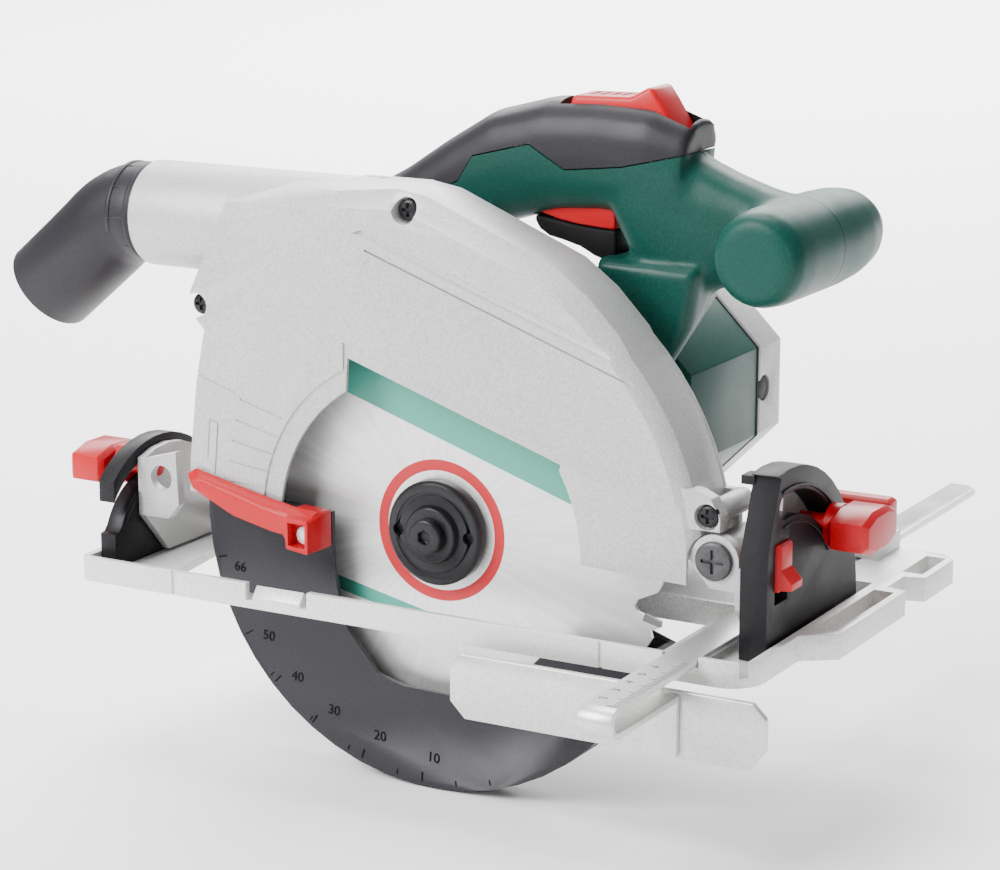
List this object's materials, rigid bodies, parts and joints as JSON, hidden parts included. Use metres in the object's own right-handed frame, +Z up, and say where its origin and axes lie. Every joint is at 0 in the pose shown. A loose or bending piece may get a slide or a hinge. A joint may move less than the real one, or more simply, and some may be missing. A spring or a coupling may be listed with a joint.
{
  "type": "circular saw",
  "caption": "Hand-held circular saw with tray base, bevel and depth adjustment, swinging lower guard, T-shaped front handle, chip tube and sliding parallel guide.",
  "frame": {"origin": "on the base plate's underside, below the spindle axis, at the middle of the motor-side sole", "axes": "+X forward along the cut, +Y from the blade towards the motor, +Z up; the underside faces -Z"},
  "size_m": [0.3584, 0.339, 0.2644],
  "materials": {
    "cast_grey": "satin light silver-grey die-cast magnesium, fine sandy texture",
    "cast_base": "die-cast light metal, tumbled matt",
    "steel": "zinc-plated or ground steel",
    "blade_steel": "ground blade steel with printed bands",
    "dark_steel": "blackened steel",
    "green_plastic": "glass-filled nylon, fine spark texture",
    "black_plastic": "glass-filled nylon",
    "soft_grip": "soft overmoulded rubber",
    "guard_metal": "dark grey powder-coated aluminium",
    "red_plastic": "moulded red plastic",
    "copper": "copper segments"
  },
  "bodies": {
    "base": {"base_plate": "cast_base", "front_bevel_quadrant": "black_plastic", "rear_bevel_quadrant": "black_plastic"},
    "bevel_stop": {"bevel_stop_slider": "red_plastic"},
    "fence_clamp": {"fence_clamp_screw": "red_plastic"},
    "fence": {"fence_bar": "steel", "fence_plate": "steel"},
    "bevel_frame": {"front_swivel_bracket": "cast_grey", "rear_swivel_bracket": "cast_grey", "depth_arc": "steel", "depth_arc_bracket": "cast_grey", "depth_pivot_screw": "steel"},
    "front_clamp": {"front_bevel_screw": "red_plastic"},
    "rear_clamp": {"rear_bevel_screw": "red_plastic"},
    "head": {"upper_guard": "cast_grey", "gear_housing": "cast_grey", "gear_cover": "cast_grey", "motor_housing": "green_plastic", "motor_cap": "cast_grey", "stator": "dark_steel", "brush_holder_front": "black_plastic", "brush_holder_rear": "black_plastic", "handle_shell_near": "green_plastic", "handle_shell_far": "green_plastic", "soft_grip": "soft_grip", "switch": "black_plastic", "cable_gland": "soft_grip", "chip_tube": "cast_grey", "guard_screw_top": "dark_steel", "guard_screw_rear": "dark_steel", "guard_screw_front": "dark_steel", "spindle_bearing_front": "steel", "spindle_bearing_rear": "steel", "layshaft_bearing": "steel", "armature_bearing": "steel", "guard_spring": "steel", "depth_clamp_bolt": "steel"},
    "depth_clamp": {"depth_clamp_lever": "red_plastic"},
    "arbor": {"saw_blade": "blade_steel", "outer_flange": "dark_steel", "inner_flange": "dark_steel", "blade_bolt": "dark_steel", "spindle": "steel", "output_gear": "steel"},
    "countershaft": {"layshaft": "steel", "mid_gear": "steel"},
    "rotor": {"armature": "steel", "commutator": "copper", "fan": "black_plastic"},
    "pendulum_guard": {"lower_guard": "guard_metal", "pull_lever": "red_plastic", "lever_screw": "steel"},
    "trigger_body": {"trigger": "red_plastic"},
    "lock_off_body": {"lock_off_slider": "red_plastic"},
    "spindle_lock": {"spindle_lock_button": "black_plastic"},
    "elbow": {"chip_elbow": "soft_grip"}
  },
  "joints": [
    {"name": "bevel_tilt", "type": "hinge", "parent": "base", "child": "bevel_frame", "pos_m": [0, -0.0755, 0.007], "axis": [1, 0, 0], "range_deg": [0, 45]},
    {"name": "bevel_stop_slide", "type": "slide", "parent": "base", "child": "bevel_stop", "axis": [0, 0, 1], "range_m": [-0.0045, 0]},
    {"name": "fence_clamp_turn", "type": "hinge", "parent": "base", "child": "fence_clamp", "pos_m": [0.1186, 0.0405, 0.02], "axis": [0, 0, 1], "range_deg": [0, 180]},
    {"name": "fence_slide", "type": "slide", "parent": "base", "child": "fence", "axis": [0, 1, 0], "range_m": [-0.1, 0.009]},
    {"name": "front_clamp_turn", "type": "hinge", "parent": "bevel_frame", "child": "front_clamp", "pos_m": [0.1416, -0.03953, 0.04173], "axis": [1, 0, 0], "range_deg": [0, 180]},
    {"name": "rear_clamp_turn", "type": "hinge", "parent": "bevel_frame", "child": "rear_clamp", "pos_m": [-0.14, -0.08373, 0.03999], "axis": [1, 0, 0], "range_deg": [0, 180]},
    {"name": "depth_swing", "type": "hinge", "parent": "bevel_frame", "child": "head", "pos_m": [0.119, -0.0755, 0.037], "axis": [0, 1, 0], "range_deg": [0, 29]},
    {"name": "depth_clamp_turn", "type": "hinge", "parent": "head", "child": "depth_clamp", "pos_m": [-0.10869, -0.0395, 0.02507], "axis": [0, 1, 0], "range_deg": [0, 35]},
    {"name": "blade_spin", "type": "hinge", "parent": "head", "child": "arbor", "pos_m": [0, -0.0755, 0.029], "axis": [0, 1, 0], "continuous": true},
    {"name": "countershaft_spin", "type": "hinge", "parent": "head", "child": "countershaft", "pos_m": [0.0193, -0.0455, 0.05044], "axis": [0, 1, 0], "continuous": true},
    {"name": "rotor_spin", "type": "hinge", "parent": "head", "child": "rotor", "pos_m": [0.0366, 0.0045, 0.06965], "axis": [0, 1, 0], "continuous": true},
    {"name": "guard_swing", "type": "hinge", "parent": "head", "child": "pendulum_guard", "pos_m": [0, -0.0755, 0.029], "axis": [0, 1, 0], "range_deg": [0, 135], "stiffness_Nm_per_rad": 0.15, "springref_deg": -34.38},
    {"name": "trigger_pull", "type": "slide", "parent": "head", "child": "trigger_body", "axis": [0, 0, 1], "range_m": [0, 0.0045], "stiffness_N_per_m": 800},
    {"name": "lock_off_push", "type": "slide", "parent": "head", "child": "lock_off_body", "axis": [1, 0, 0], "range_m": [0, 0.004], "stiffness_N_per_m": 500},
    {"name": "spindle_lock_push", "type": "slide", "parent": "head", "child": "spindle_lock", "axis": [1, 0, 0], "range_m": [0, 0.004], "stiffness_N_per_m": 500},
    {"name": "elbow_turn", "type": "hinge", "parent": "head", "child": "elbow", "pos_m": [-0.131, -0.0695, 0.138], "axis": [1, 0, 0], "continuous": true}
  ],
  "couplings": [
    {"joint": "countershaft_spin", "follows": "blade_spin", "ratio": -2.5},
    {"joint": "rotor_spin", "follows": "blade_spin", "ratio": 10.714}
  ]
}
